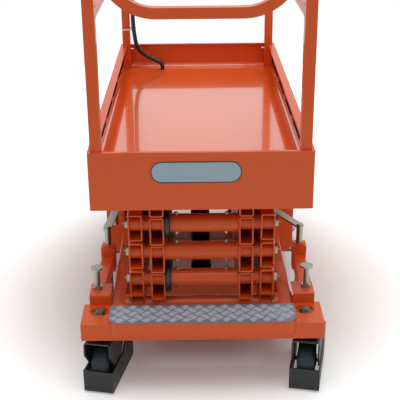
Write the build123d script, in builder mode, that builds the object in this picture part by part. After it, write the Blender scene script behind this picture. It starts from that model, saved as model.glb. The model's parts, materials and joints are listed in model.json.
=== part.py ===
from build123d import *

import os
from math import asin, atan2, cos, degrees, hypot, radians, sin

# Push-around scissor lift with four stages, swing-out outriggers and a guarded platform.
# Millimetres. X is across the machine, Y runs from the entry step to the rear, Z is up.
# The origin is on the floor, midway along the machine's length and on its centreline.

os.makedirs("parts", exist_ok=True)

# Overall
overall_length = 1360
deck_setback = 76
base_width = 676
deck_width = 600

# Chassis
caster_height = 170
beam_height = 50
beam_wall = 4
front_beam_depth = 80
front_corner_depth = 118
rear_beam_depth = 62
tie_hole_radius = 10
tie_hole_spread = 340
step_overhang = 16
rail_width = 40
rail_inset = 97
rail_wall = 4
cross_member_width = 60
cross_member_height = 30
stem_inset = 47
stem_setback = 74

# Entry step
step_inset = 76
step_depth = 105
step_top_rise = 10
step_height = 38
step_corner = 35
step_plate = 5
tread_thickness = 3
tread_margin = 2

# Scissor arms
arm_inset = 250
arm_width = 40
arm_height = 80
arm_wall = 4
arm_corner = 6
arm_stack_gap = 5.25
outer_arm_inset = 154
inner_arm_inset = 214
inner_arm_drop = 16
arm_nose = 33
arm_tail = 28
base_nose = 18
pivot_setback = 75
base_pivot_drop = 10
stage_count = 4

# Pivots
pin_radius = 15
pin_play = 0.05
pin_head_radius = 19
pin_head = 8
pin_depth = 44
sleeve_radius = 21
sleeve_gap = 1
cross_tube_radius = 26
base_tube_radius = 23
base_lug = 13
base_lug_radius = 28
roller_radius = 30
roller_width = 30
roller_gap = 20
track_plate = 6
track_start = 615
upper_roller_radius = 28
upper_roller_width = 34

# Lift cylinder, with its foot on the chassis and its eye on the second inner stage
cylinder_foot_setback = 210
cylinder_foot_drop = 15
cylinder_eye_share = 0.12
cylinder_eye_rise = 65
barrel_radius = 32
barrel_length = 560
rod_radius = 17
eye_radius = 20
eye_width = 44
eye_pin_radius = 12.5
lug_plate = 10
lug_gap = 5

# Platform
deck_headroom = 55
floor_thickness = 3
floor_rim = 18
floor_bend = 12
skirt_drop = 73
rim_rise = 90
skirt_wall = 3
skirt_corner = 6
side_flange = 24
end_flange = 12
channel_gap = 8
channel_width = 42
channel_wall = 4
channel_flange = 6
channel_play = 0.5
channel_length = 590
channel_end = 34
deck_lug = 10
deck_lug_radius = 26
rib_height = 20
rib_width = 30

# Guardrail
post_size = 30
post_inset_x = 8.5
post_inset_y = 8
rail_height = 1100
mid_rail_rise = 436
gate_tube = 28
gate_gap = 3.5
gate_corner = 150
gate_sill = 436
gate_lip = 1
knuckle_radius = 6
knuckle_height = 18
knuckle_gap = 1
hinge_leaf = 3
hinge_pin_radius = 3
hinge_inset = 190

# Control box and its cable
box_width = 190
box_depth = 95
box_height = 150
cable_radius = 8
cable_hole_x = -138
cable_hole_setback = 56

# Casters
wheel_radius = 62.5
wheel_width = 48
caster_trail = -8
caster_offset = 12
caster_turn = -12
fork_width = 78
fork_plate = 5
fork_shoulder = 12
fork_gap = 2
fork_front = 77
fork_rear = 62
caster_plate = 6
caster_plate_size = 88
kingpin_radius = 12
stem_radius = 10
stem_hole_radius = 25
stem_recess = 6
stem_washer = 3
stem_nut = 8
axle_radius = 6
guard_wall = 4
guard_front = 80
guard_rear = 133
guard_front_height = 66
guard_lift = 6
guard_rear_height = 104
guard_step = 25
guard_slope = 45

# Outriggers
outrigger_pivot_inset = 36
outrigger_pivot_setback = 37
outrigger_length = 236
outrigger_tube = 38
outrigger_wall = 3
outrigger_corner = 3
outrigger_nose = 3
outrigger_rise = 39
bracket_reach = 20
bracket_plate = 5
bracket_depth = 64
bracket_lip = 6
clevis_gap = 1
pivot_pin_radius = 8
mushroom_radius = 18
mushroom_rise = 62
collar_radius = 14
collar_height = 7
left_toe = -3
right_toe = -1.5
rear_toe = 1.5
jack_sleeve = 42
jack_sleeve_top = 30
jack_sleeve_drop = 14
jack_rod_radius = 10
jack_rod_top = 345
foot_thickness = 6
foot_lift = 52
foot_cup_radius = 18
foot_cup = 16
crank_height = 334
crank_length = 135
crank_width = 25
crank_plate = 6
grip_radius = 8
grip_length = 45

# Side boxes with the battery and the pump
side_box_width = 60
side_box_length = 240
side_box_height = 280
side_box_floor = 100
side_box_front = 636
side_box_wall = 2
side_box_gap = 2
block_margin = 4
block_height = 190

# Hose loops on the inner arms
hose_radius = 8
hose_inset = 9
hose_seat = 0.02
hose_run = 420

# Places worked out from the sizes above
front_end = -overall_length / 2
rear_end = overall_length / 2
deck_front = front_end + deck_setback
deck_length = rear_end - deck_front
arm_length = overall_length - arm_inset
pivot_y = deck_front + pivot_setback
rest_angle = degrees(asin(2 * (arm_height + arm_stack_gap) / arm_length)) / 2
rise = arm_length * sin(radians(rest_angle))
run = arm_length * cos(radians(rest_angle))
chassis_top = caster_height + beam_height
pivot_z = chassis_top - base_pivot_drop
deck_under = pivot_z + stage_count * rise + deck_headroom
floor_top = deck_under + floor_thickness
rim_z = floor_top + rim_rise
skirt_z = floor_top - skirt_drop
outer_x = base_width / 2 - outer_arm_inset
inner_x = base_width / 2 - inner_arm_inset
outer_inner_face = outer_x - arm_width / 2
outer_outer_face = outer_x + arm_width / 2
inner_inner_face = inner_x - arm_width / 2
inner_outer_face = inner_x + arm_width / 2
sleeve_meet = (inner_outer_face + outer_inner_face) / 2
lug_face = inner_outer_face + 6
pin_end = outer_outer_face + sleeve_gap
rail_x = base_width / 2 - rail_inset
rail_inner = rail_x - rail_width / 2
rail_outer = rail_x + rail_width / 2
beam_front = front_end + step_overhang
beam_back = beam_front + front_beam_depth
corner_back = beam_front + front_corner_depth
rear_beam_front = rear_end - rear_beam_depth
stem_x = base_width / 2 - stem_inset
stem_y = beam_front + stem_setback
rear_wheel_y = rear_end - wheel_radius
outrigger_x = base_width / 2 - outrigger_pivot_inset
bracket_outer = outrigger_x + bracket_reach
step_width = base_width - 2 * step_inset
front_pivot_y = corner_back + outrigger_pivot_setback
rear_pivot_y = rear_beam_front - outrigger_pivot_setback
outrigger_z = caster_height + outrigger_rise
guard_half = fork_width / 2 + guard_wall
guard_corner = (caster_offset + guard_half) * cos(radians(caster_turn))
guard_reach = stem_x + guard_corner - guard_rear * sin(radians(caster_turn))
rear_foot_x = outrigger_x + outrigger_length * sin(radians(rear_toe))
foot_radius = guard_reach - rear_foot_x
post_x = deck_width / 2 - post_inset_x - post_size / 2
front_post_y = deck_front + post_inset_y + post_size / 2
rear_post_y = rear_end - post_inset_y - post_size / 2
cable_hole = (cable_hole_x, rear_end - cable_hole_setback)
SIDES = (-1, 1)


def block(x, y, z, mode=Mode.ADD):
    """Add a box between the pairs of limits x, y and z."""
    with Locations(((x[0] + x[1]) / 2, (y[0] + y[1]) / 2, (z[0] + z[1]) / 2)):
        Box(abs(x[1] - x[0]), abs(y[1] - y[0]), abs(z[1] - z[0]), mode=mode)


def bar_x(x0, x1, y, z, radius, mode=Mode.ADD):
    """Add a round bar along X from x0 to x1."""
    with Locations(Location(((x0 + x1) / 2, y, z), (0, 90, 0))):
        Cylinder(radius, abs(x1 - x0), mode=mode)


def bar_z(x, y, z0, z1, radius, mode=Mode.ADD):
    """Add an upright round bar from z0 to z1."""
    with Locations((x, y, (z0 + z1) / 2)):
        Cylinder(radius, abs(z1 - z0), mode=mode)


def tube_y(x, z, y0, y1, width, height, wall, corner):
    """Add a rounded rectangular tube along Y, centred on x and z."""
    section = Plane(origin=(x, y0, z), x_dir=(1, 0, 0), z_dir=(0, 1, 0))
    with BuildSketch(section) as profile:
        RectangleRounded(width, height, corner)
        inner_corner = max(corner - wall, 0.5)
        RectangleRounded(width - 2 * wall, height - 2 * wall, inner_corner, mode=Mode.SUBTRACT)
    extrude(profile.sketch, amount=y1 - y0)


def finish(part, name):
    """Label a finished piece and write its file."""
    part.label = name
    export_step(part, f"parts/{name}.step")


def rising_frame(stage):
    """Frame of an outer arm: at its front pin, +Y along the arm towards its high rear end."""
    angle = radians(rest_angle)
    origin = (0, pivot_y, pivot_z + (stage - 1) * rise)
    return Plane(origin=origin, x_dir=(1, 0, 0), z_dir=(0, -sin(angle), cos(angle)))


def falling_frame(stage):
    """Frame of an inner arm: at its high front pin, +Y along the arm towards its low rear end."""
    angle = radians(rest_angle)
    origin = (0, pivot_y, pivot_z + stage * rise)
    return Plane(origin=origin, x_dir=(1, 0, 0), z_dir=(0, sin(angle), cos(angle)))


# Front beam: a closed box with deeper corners over the casters and a recess for each stem nut
with BuildPart() as front_beam:
    half = base_width / 2
    with BuildSketch(Plane.XY.offset(caster_height)):
        with BuildLine():
            Polyline(
                (-half, beam_front),
                (half, beam_front),
                (half, corner_back),
                (rail_outer, corner_back),
                (rail_outer, beam_back),
                (-rail_outer, beam_back),
                (-rail_outer, corner_back),
                (-half, corner_back),
                close=True,
            )
        make_face()
    extrude(amount=beam_height)
    fillet(front_beam.edges().filter_by(Axis.Z).group_by(Axis.Y)[0], beam_wall)
    with BuildSketch(Plane.XY.offset(caster_height + beam_wall)):
        inner_half = half - beam_wall
        rail_side = rail_outer + beam_wall
        with BuildLine():
            Polyline(
                (-inner_half, beam_front + beam_wall),
                (inner_half, beam_front + beam_wall),
                (inner_half, corner_back - beam_wall),
                (rail_side, corner_back - beam_wall),
                (rail_side, beam_back - beam_wall),
                (-rail_side, beam_back - beam_wall),
                (-rail_side, corner_back - beam_wall),
                (-inner_half, corner_back - beam_wall),
                close=True,
            )
        make_face()
    extrude(amount=beam_height - 2 * beam_wall, mode=Mode.SUBTRACT)
    for side in SIDES:
        bar_z(side * stem_x, stem_y, caster_height, chassis_top, stem_hole_radius + beam_wall)
        bar_z(side * stem_x, stem_y, caster_height, chassis_top, stem_radius, Mode.SUBTRACT)
        recess_z = chassis_top - stem_recess
        bar_z(side * stem_x, stem_y, recess_z, chassis_top, stem_hole_radius, Mode.SUBTRACT)
finish(front_beam.part, "front_beam")

# Rear beam: a plain closed box across the rails' rear ends
with BuildPart() as rear_beam:
    half = base_width / 2
    block((-half, half), (rear_beam_front, rear_end), (caster_height, chassis_top))
    fillet(rear_beam.edges().filter_by(Axis.Z), beam_wall)
    block(
        (beam_wall - half, half - beam_wall),
        (rear_beam_front + beam_wall, rear_end - beam_wall),
        (caster_height + beam_wall, chassis_top - beam_wall),
        Mode.SUBTRACT,
    )
    tie_y = (rear_beam_front + rear_end) / 2
    for side in SIDES:
        tie_x = side * tie_hole_spread / 2
        bar_z(tie_x, tie_y, caster_height, chassis_top, tie_hole_radius + beam_wall)
        bar_z(tie_x, tie_y, caster_height, chassis_top, tie_hole_radius, Mode.SUBTRACT)
finish(rear_beam.part, "rear_beam")

# Side rails: box tubes with the base pivot lug and the lower rollers' track on their inner faces
with BuildPart() as side_rails:
    rail_z = caster_height + beam_height / 2
    track_z = pivot_z - roller_radius
    track_inner = inner_outer_face + roller_gap - 5
    for side in SIDES:
        tube_y(side * rail_x, rail_z, beam_back, rear_beam_front, rail_width, beam_height, rail_wall, 4)
        block(
            sorted((side * track_inner, side * rail_inner)),
            (pivot_y + track_start, rear_beam_front),
            (track_z - track_plate, track_z),
        )
        lug_x = sorted((side * (rail_inner - base_lug), side * rail_inner))
        bar_x(*lug_x, pivot_y, pivot_z, base_lug_radius)
        block(lug_x, (pivot_y - base_lug_radius, pivot_y + base_lug_radius), (caster_height, pivot_z))
        bar_x(*lug_x, pivot_y, pivot_z, pin_radius, Mode.SUBTRACT)
finish(side_rails.part, "side_rails")

# Cross members under the rails; the front one carries the lift cylinder's foot
foot_y = pivot_y + cylinder_foot_setback
foot_z = pivot_z - cylinder_foot_drop
with BuildPart() as cross_members:
    member_z = (caster_height - cross_member_height, caster_height)
    middle_y = pivot_y + run / 2
    for centre_y in (foot_y, middle_y):
        block(
            (-rail_outer, rail_outer),
            (centre_y - cross_member_width / 2, centre_y + cross_member_width / 2),
            member_z,
        )
    for side in SIDES:
        ear_near = side * (eye_width / 2 + lug_gap)
        ear_far = side * (eye_width / 2 + lug_gap + lug_plate)
        ear_x = sorted((ear_near, ear_far))
        bar_x(*ear_x, foot_y, foot_z, eye_radius)
        block(ear_x, (foot_y - eye_radius, foot_y + eye_radius), (caster_height, foot_z))
    ear_span = eye_width / 2 + lug_gap + lug_plate
    bar_x(-ear_span, ear_span, foot_y, foot_z, eye_pin_radius)
finish(cross_members.part, "cross_members")

# Entry step: a pressed cap over the front beam, with its chequer plate on top
step_back = front_end + step_depth
step_z = chassis_top + step_top_rise
with BuildPart() as step_box:
    with BuildSketch(Plane.XY.offset(step_z - step_height)):
        with Locations((0, (front_end + step_back) / 2)):
            Rectangle(step_width, step_depth)
    extrude(amount=step_height)
    fillet(step_box.edges().filter_by(Axis.Z).group_by(Axis.Y)[0], step_corner)
    block((-base_width, base_width), (beam_front, step_back), (0, chassis_top), Mode.SUBTRACT)
    block(
        (step_plate - step_width / 2, step_width / 2 - step_plate),
        (beam_back, step_back),
        (0, step_z - step_plate),
        Mode.SUBTRACT,
    )
finish(step_box.part, "step_box")

with BuildPart() as tread_plate:
    with BuildSketch(Plane.XY.offset(step_z)):
        with Locations((0, (front_end + step_back) / 2)):
            Rectangle(step_width - 2 * tread_margin, step_depth - 2 * tread_margin)
    extrude(amount=tread_thickness)
    corners = tread_plate.edges().filter_by(Axis.Z).group_by(Axis.Y)[0]
    fillet(corners, step_corner - tread_margin)
finish(tread_plate.part, "tread_plate")

# Base pivot pins, held in the rails' lugs
with BuildPart() as base_pins:
    for side in SIDES:
        x0 = side * (outer_inner_face - pin_depth)
        bar_x(*sorted((x0, side * rail_inner)), pivot_y, pivot_z, pin_radius)
finish(base_pins.part, "base_pins")


def arm_sleeves(side, x0, x1, stations, radius):
    """Add the pivot sleeves of one arm between x0 and x1 at the stations along it."""
    for y in stations:
        bar_x(*sorted((side * x0, side * x1)), y, 0, radius)


def arm_bores(side, x0, x1, stations, radius):
    """Bore one arm's sleeves between x0 and x1."""
    for y in stations:
        bar_x(*sorted((side * x0, side * x1)), y, 0, radius, Mode.SUBTRACT)


# Outer arms: a pair of box tubes for each stage, with sleeves that run on the pins
stations = (0, arm_length / 2, arm_length)
for stage in range(1, stage_count + 1):
    nose = base_nose if stage == 1 else arm_nose
    with BuildPart() as outer_pair:
        for side in SIDES:
            tail = arm_length + arm_tail
            tube_y(side * outer_x, 0, -nose, tail, arm_width, arm_height, arm_wall, arm_corner)
            near = sleeve_meet + sleeve_gap / 2
            arm_sleeves(side, near, outer_outer_face, stations, sleeve_radius)
        if stage == 1:
            bar_x(-outer_inner_face, outer_inner_face, 0, 0, base_tube_radius)
        if stage == stage_count:
            bar_x(-outer_inner_face, outer_inner_face, arm_length, 0, cross_tube_radius)
        for side in SIDES:
            bore_start = outer_inner_face - pin_depth if stage in (1, stage_count) else sleeve_meet
            near_bore = bore_start if stage == 1 else sleeve_meet
            far_bore = bore_start if stage == stage_count else sleeve_meet
            bore = pin_radius + pin_play
            arm_bores(side, near_bore, outer_outer_face, stations[:1], bore)
            arm_bores(side, sleeve_meet, outer_outer_face, stations[1:2], bore)
            far_radius = pin_radius if stage == stage_count else bore
            arm_bores(side, far_bore, outer_outer_face, stations[2:], far_radius)
    with BuildPart() as outer_arms:
        with Locations(rising_frame(stage).location):
            add(outer_pair.part)
    finish(outer_arms.part, f"outer_arms_{stage}")

# Inner arms: one welded frame for each stage, its tubes set below the pin line
eye_back = arm_length * (1 - cylinder_eye_share)
for stage in range(1, stage_count + 1):
    with BuildPart() as inner_frame:
        for side in SIDES:
            tube_y(
                side * inner_x,
                -inner_arm_drop,
                -arm_nose,
                arm_length + arm_tail,
                arm_width,
                arm_height,
                arm_wall,
                arm_corner,
            )
            reach = sleeve_meet - sleeve_gap / 2
            front_reach = lug_face - sleeve_gap if stage == stage_count else reach
            arm_sleeves(side, inner_inner_face, front_reach, stations[:1], sleeve_radius)
            arm_sleeves(side, inner_inner_face, reach, stations[1:], sleeve_radius)
        for y in (0, arm_length):
            bar_x(-inner_inner_face, inner_inner_face, y, 0, cross_tube_radius)
        if stage == 2:
            # Lever plates from the rear cross tube to the lift cylinder's eye
            for side in SIDES:
                near = side * (eye_width / 2 + lug_gap)
                plate = Plane(origin=(near, 0, 0), x_dir=(0, 1, 0), z_dir=(side, 0, 0))
                with BuildSketch(plate):
                    eye_local = (eye_back, side * cylinder_eye_rise)
                    with Locations((arm_length, 0)):
                        Circle(cross_tube_radius + 6)
                    with Locations(eye_local):
                        Circle(eye_radius + 6)
                    make_hull()
                extrude(amount=lug_plate)
                with BuildSketch(plate.offset(lug_plate)):
                    with Locations(eye_local):
                        Circle(eye_pin_radius)
                extrude(amount=lug_gap)
        for side in SIDES:
            inner_end = inner_inner_face - pin_depth
            reach = sleeve_meet - sleeve_gap / 2
            arm_bores(side, inner_end, reach, (0, arm_length), pin_radius)
            arm_bores(side, inner_inner_face, reach, (arm_length / 2,), pin_radius)
    with BuildPart() as inner_arms:
        with Locations(falling_frame(stage).location):
            add(inner_frame.part)
    finish(inner_arms.part, f"inner_arms_{stage}")

# Pivot pins of each stage, fixed in the inner arms
roller_face = inner_outer_face + roller_gap
for stage in range(1, stage_count + 1):
    with BuildPart() as stage_pins:
        for side in SIDES:
            deep = inner_inner_face - pin_depth
            front_end_x = lug_face + deck_lug + sleeve_gap if stage == stage_count else pin_end
            rear_end_x = roller_face + roller_width + sleeve_gap if stage == 1 else pin_end
            for y, x0, x1 in (
                (0, deep, front_end_x),
                (arm_length / 2, inner_inner_face, pin_end),
                (arm_length, deep, rear_end_x),
            ):
                bar_x(*sorted((side * x0, side * x1)), y, 0, pin_radius)
                bar_x(*sorted((side * x1, side * (x1 + pin_head))), y, 0, pin_head_radius)
            head_x = inner_inner_face
            bar_x(*sorted((side * (head_x - pin_head), side * head_x)), arm_length / 2, 0, pin_head_radius)
    with BuildPart() as pivot_pins:
        with Locations(falling_frame(stage).location):
            add(stage_pins.part)
    finish(pivot_pins.part, f"pivot_pins_{stage}")

# Rollers: the lower pair on the first stage, the upper pair under the platform
with BuildPart() as lower_rollers:
    roller_y = pivot_y + run
    for side in SIDES:
        roller_x = sorted((side * roller_face, side * (roller_face + roller_width)))
        bar_x(*roller_x, roller_y, pivot_z, roller_radius)
        bar_x(*roller_x, roller_y, pivot_z, pin_radius, Mode.SUBTRACT)
finish(lower_rollers.part, "lower_rollers")

channel_x = outer_outer_face + channel_gap
top_pivot_z = pivot_z + stage_count * rise
with BuildPart() as upper_rollers:
    roller_y = pivot_y + run
    for side in SIDES:
        stub = (side * (outer_inner_face - pin_depth), side * (channel_x + 2))
        bar_x(*sorted(stub), roller_y, top_pivot_z, pin_radius)
        roller_x = (side * (channel_x + 2), side * (channel_x + 2 + upper_roller_width))
        bar_x(*sorted(roller_x), roller_y, top_pivot_z, upper_roller_radius)
finish(upper_rollers.part, "upper_rollers")

# Lift cylinder
eye_frame = falling_frame(2)
eye_point = eye_frame.from_local_coords((0, eye_back, cylinder_eye_rise))
cylinder_run = eye_point.Y - foot_y
cylinder_rise = eye_point.Z - foot_z
cylinder_tilt = atan2(cylinder_rise, cylinder_run)
cylinder_length = hypot(cylinder_run, cylinder_rise)
cylinder_frame = Plane(
    origin=(0, foot_y, foot_z),
    x_dir=(1, 0, 0),
    z_dir=(0, -sin(cylinder_tilt), cos(cylinder_tilt)),
)
gland = 24
barrel_start = eye_radius + 18
with BuildPart() as barrel_local:
    across = Plane(origin=(0, barrel_start, 0), x_dir=(1, 0, 0), z_dir=(0, 1, 0))
    with BuildSketch(across):
        Circle(barrel_radius)
    extrude(amount=barrel_length)
    with BuildSketch(across.offset(barrel_length)):
        Circle(barrel_radius - 4)
    extrude(amount=gland)
    bar_x(-eye_width / 2, eye_width / 2, 0, 0, eye_radius)
    block((-eye_width / 2 + 6, eye_width / 2 - 6), (0, barrel_start), (-14, 14))
    bar_x(-eye_width / 2, eye_width / 2, 0, 0, eye_pin_radius + pin_play, Mode.SUBTRACT)
    with BuildSketch(across.offset(barrel_start)):
        Circle(rod_radius + pin_play)
    extrude(amount=barrel_length + gland, mode=Mode.SUBTRACT)
with BuildPart() as cylinder_barrel:
    with Locations(cylinder_frame.location):
        add(barrel_local.part)
finish(cylinder_barrel.part, "cylinder_barrel")

with BuildPart() as rod_local:
    rod_start = 2 * barrel_start + 10
    across = Plane(origin=(0, rod_start, 0), x_dir=(1, 0, 0), z_dir=(0, 1, 0))
    with BuildSketch(across):
        Circle(rod_radius)
    extrude(amount=cylinder_length - rod_start)
    bar_x(-eye_width / 2, eye_width / 2, cylinder_length, 0, eye_radius)
with BuildPart() as cylinder_rod:
    with Locations(cylinder_frame.location):
        add(rod_local.part)
finish(cylinder_rod.part, "cylinder_rod")

# Platform floor: a pan with bent-up edges inside the skirt
with BuildPart() as deck_floor:
    half = deck_width / 2 - skirt_wall
    y0 = deck_front + skirt_wall
    y1 = rear_end - skirt_wall
    with BuildSketch(Plane.XY.offset(deck_under)):
        with Locations((0, (y0 + y1) / 2)):
            RectangleRounded(2 * half, y1 - y0, skirt_corner - skirt_wall)
    extrude(amount=floor_rim)
    inner = half - floor_thickness
    with BuildSketch(Plane.XY.offset(floor_top)):
        with Locations((0, (y0 + y1) / 2)):
            Rectangle(2 * inner, y1 - y0 - 2 * floor_thickness)
    extrude(amount=floor_rim, mode=Mode.SUBTRACT)
    pan_bend = deck_floor.edges().filter_by(Plane.XY).group_by(Axis.Z)[1]
    fillet(pan_bend, floor_bend)
    for side in SIDES:
        for y in (front_post_y, rear_post_y):
            with Locations((side * post_x, y, deck_under)):
                Box(post_size, post_size, 4 * floor_rim, mode=Mode.SUBTRACT)
    bar_z(*cable_hole, deck_under, floor_top, cable_radius, Mode.SUBTRACT)
finish(deck_floor.part, "deck_floor")

# Platform skirt: four folded walls with an inward flange round the top
with BuildPart() as deck_skirt:
    half = deck_width / 2
    middle_y = (deck_front + rear_end) / 2
    with BuildSketch(Plane.XY.offset(skirt_z)):
        with Locations((0, middle_y)):
            RectangleRounded(deck_width, deck_length, skirt_corner)
            inner_x_size = deck_width - 2 * skirt_wall
            inner_y_size = deck_length - 2 * skirt_wall
            RectangleRounded(inner_x_size, inner_y_size, skirt_corner - skirt_wall, mode=Mode.SUBTRACT)
    extrude(amount=rim_z - skirt_z)
    with BuildSketch(Plane.XY.offset(rim_z - skirt_wall)):
        with Locations((0, middle_y)):
            Rectangle(deck_width - skirt_wall, deck_length - skirt_wall)
            opening_x = deck_width - 2 * side_flange
            opening_y = deck_length - 2 * end_flange
            Rectangle(opening_x, opening_y, mode=Mode.SUBTRACT)
    extrude(amount=skirt_wall)
    for side in SIDES:
        for y in (deck_front + post_inset_y, rear_end - post_inset_y):
            step = post_size if y < 0 else -post_size
            post_outer = side * (half - post_inset_x)
            post_inner = side * (half - post_inset_x - post_size)
            block(
                sorted((post_outer, post_inner)),
                sorted((y, y + step)),
                (rim_z - 2 * skirt_wall, rim_z + skirt_wall),
                Mode.SUBTRACT,
            )
finish(deck_skirt.part, "deck_skirt")

# Platform frame: roller channels, cross ribs and the front pivot lugs, all under the floor
with BuildPart() as deck_frame:
    channel_low = top_pivot_z - upper_roller_radius - channel_play
    channel_high = top_pivot_z + upper_roller_radius + channel_play
    channel_back = rear_end - channel_end
    channel_y = (channel_back - channel_length, channel_back)
    for side in SIDES:
        x0 = side * channel_x
        x1 = side * (channel_x + channel_width)
        web = side * (channel_x + channel_width - channel_wall)
        block(sorted((web, x1)), channel_y, (channel_low - channel_flange, deck_under))
        block(sorted((x0, x1)), channel_y, (channel_low - channel_flange, channel_low))
        block(sorted((x0, x1)), channel_y, (channel_high, channel_high + channel_flange))
        lug_x = sorted((side * lug_face, side * (lug_face + deck_lug)))
        lug_y = (pivot_y - deck_lug_radius, pivot_y + deck_lug_radius)
        block(lug_x, lug_y, (top_pivot_z, deck_under))
        bar_x(*lug_x, pivot_y, top_pivot_z, deck_lug_radius)
        bar_x(*lug_x, pivot_y, top_pivot_z, pin_radius + pin_play, Mode.SUBTRACT)
    half = deck_width / 2 - skirt_wall
    for share in (0.2, 0.36):
        rib_y = deck_front + share * deck_length
        block((-half, half), (rib_y, rib_y + rib_width), (deck_under - rib_height, deck_under))
    for side in SIDES:
        for share in (0.6, 0.86):
            rib_y = deck_front + share * deck_length
            outer = side * half
            inner = side * (channel_x + channel_width)
            block(sorted((inner, outer)), (rib_y, rib_y + rib_width), (deck_under - rib_height, deck_under))
finish(deck_frame.part, "deck_frame")


# Guardrail: four posts with top and middle rails on both sides and the rear
rail_top = floor_top + rail_height
mid_rail_z = floor_top + mid_rail_rise
with BuildPart() as guardrail:
    half = post_size / 2
    for side in SIDES:
        for y in (front_post_y, rear_post_y):
            x = side * post_x
            block((x - half, x + half), (y - half, y + half), (deck_under, rail_top))
        side_x = (side * post_x - half, side * post_x + half)
        side_y = (front_post_y, rear_post_y)
        block(side_x, side_y, (rail_top - post_size, rail_top))
        block(side_x, side_y, (mid_rail_z, mid_rail_z + post_size))
    rear_y = (rear_post_y - half, rear_post_y + half)
    block((-post_x, post_x), rear_y, (rail_top - post_size, rail_top))
    block((-post_x, post_x), rear_y, (mid_rail_z, mid_rail_z + post_size))
    top_edges = guardrail.edges().group_by(Axis.Z)[-1]
    fillet(top_edges.filter_by(Axis.Y), 3)
finish(guardrail.part, "guardrail")

# Gate: a rounded loop of square tube hinged to the left front post
gate_half = post_x - post_size / 2 - gate_gap
gate_y = deck_front + post_inset_y + gate_lip + gate_tube / 2
gate_low = floor_top + gate_sill
hinge_x = -(gate_half + gate_gap / 2)
hinge_y = gate_y + gate_tube / 2 + hinge_leaf + knuckle_radius
with BuildPart() as gate:
    width = 2 * gate_half
    height = rail_top - gate_low
    gate_middle = (0, gate_y - gate_tube / 2, (gate_low + rail_top) / 2)
    face = Plane(origin=gate_middle, x_dir=(1, 0, 0), z_dir=(0, 1, 0))
    with BuildSketch(face):
        RectangleRounded(width, height, gate_corner)
        inner_corner = gate_corner - gate_tube
        RectangleRounded(width - 2 * gate_tube, height - 2 * gate_tube, inner_corner, mode=Mode.SUBTRACT)
    extrude(amount=gate_tube)
    for z in (gate_low + hinge_inset, rail_top - hinge_inset):
        leaf_y = (gate_y + gate_tube / 2, gate_y + gate_tube / 2 + hinge_leaf)
        upper = (z + knuckle_gap / 2, z + knuckle_gap / 2 + knuckle_height)
        block((hinge_x, -gate_half + gate_tube), leaf_y, upper)
        bar_z(hinge_x, hinge_y, *upper, knuckle_radius)
        block((hinge_x, hinge_x + knuckle_radius), (leaf_y[1], hinge_y), upper)
        bar_z(hinge_x, hinge_y, *upper, hinge_pin_radius + pin_play, Mode.SUBTRACT)
finish(gate.part, "gate")

with BuildPart() as gate_hinges:
    for z in (gate_low + hinge_inset, rail_top - hinge_inset):
        lower = (z - knuckle_gap / 2 - knuckle_height, z - knuckle_gap / 2)
        post_face = front_post_y + post_size / 2
        leaf_y = (post_face, post_face + hinge_leaf)
        block((-post_x - post_size / 2, hinge_x), leaf_y, lower)
        block((hinge_x - knuckle_radius, hinge_x), (post_face, hinge_y), lower)
        bar_z(hinge_x, hinge_y, *lower, knuckle_radius)
        bar_z(hinge_x, hinge_y, lower[0], z + knuckle_gap / 2 + knuckle_height, hinge_pin_radius)
finish(gate_hinges.part, "gate_hinges")

# Control box hung inside the rear top rail
with BuildPart() as control_box:
    box_y = rear_post_y - post_size / 2
    box_x = -post_x + post_size / 2 + 20
    box_z = rail_top - 20
    block((box_x, box_x + box_width), (box_y - box_depth, box_y), (box_z - box_height, box_z))
    fillet(control_box.edges().filter_by(Axis.Z), 8)
finish(control_box.part, "control_box")

# Control cable: out of the floor and up beside the rear left post into the control box
cable_points = [
    (*cable_hole, deck_under),
    (*cable_hole, floor_top + 24),
    (-175, rear_end - 52, floor_top + 42),
    (-214, rear_end - 50, floor_top + 62),
    (-238, rear_end - 50, floor_top + 96),
    (-247, rear_end - 50, floor_top + 160),
    (-249, rear_end - 50, floor_top + 280),
]
post_run = [-249, rear_end - 50]
riser_z = [floor_top + 280 + 110 * step for step in range(1, 6)]
for index, z in enumerate(riser_z):
    cable_points.append((post_run[0] + (1.5 if index % 2 else -1.0), post_run[1] + 0.6 * index, z))
cable_points.append((-222, rear_end - 62, rail_top - 20 - box_height - 30))
cable_points.append((box_x + 56, rear_end - 88, rail_top - 20 - box_height - 24))
cable_points.append((box_x + 56, rear_end - 88, rail_top - 20 - box_height))


def bend_radii(points):
    """The largest arc that each corner's runs allow."""
    vectors = [Vector(*point) for point in points]
    radii = []
    for before, corner, after in zip(vectors, vectors[1:], vectors[2:]):
        run_in = corner - before
        run_out = after - corner
        turn = radians(run_in.get_angle(run_out))
        shorter = min(run_in.length, run_out.length)
        radii.append(0.45 * shorter * cos(turn / 2) / max(sin(turn / 2), 1e-6))
    return radii


cable_radii = bend_radii(cable_points)
with BuildPart() as control_cable:
    with BuildLine() as route:
        FilletPolyline(*cable_points, radius=cable_radii)
    with BuildSketch(Plane(route.line @ 0, z_dir=route.line % 0)):
        Circle(cable_radius)
    sweep(path=route.line)
finish(control_cable.part, "control_cable")

# Front casters: the plate and stem fixed to the beam
with BuildPart() as caster_plates:
    for side in SIDES:
        x = side * stem_x
        size = caster_plate_size / 2
        plate_z = caster_height - caster_plate
        block((x - size, x + size), (stem_y - size, stem_y + size), (plate_z, caster_height))
        crown_z = plate_z - fork_gap
        bar_z(x, stem_y, crown_z - fork_plate - 4, plate_z, kingpin_radius)
        bar_z(x, stem_y, crown_z - fork_plate - 4, crown_z - fork_plate - 1, kingpin_radius + 4)
finish(caster_plates.part, "caster_plates")

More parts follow.
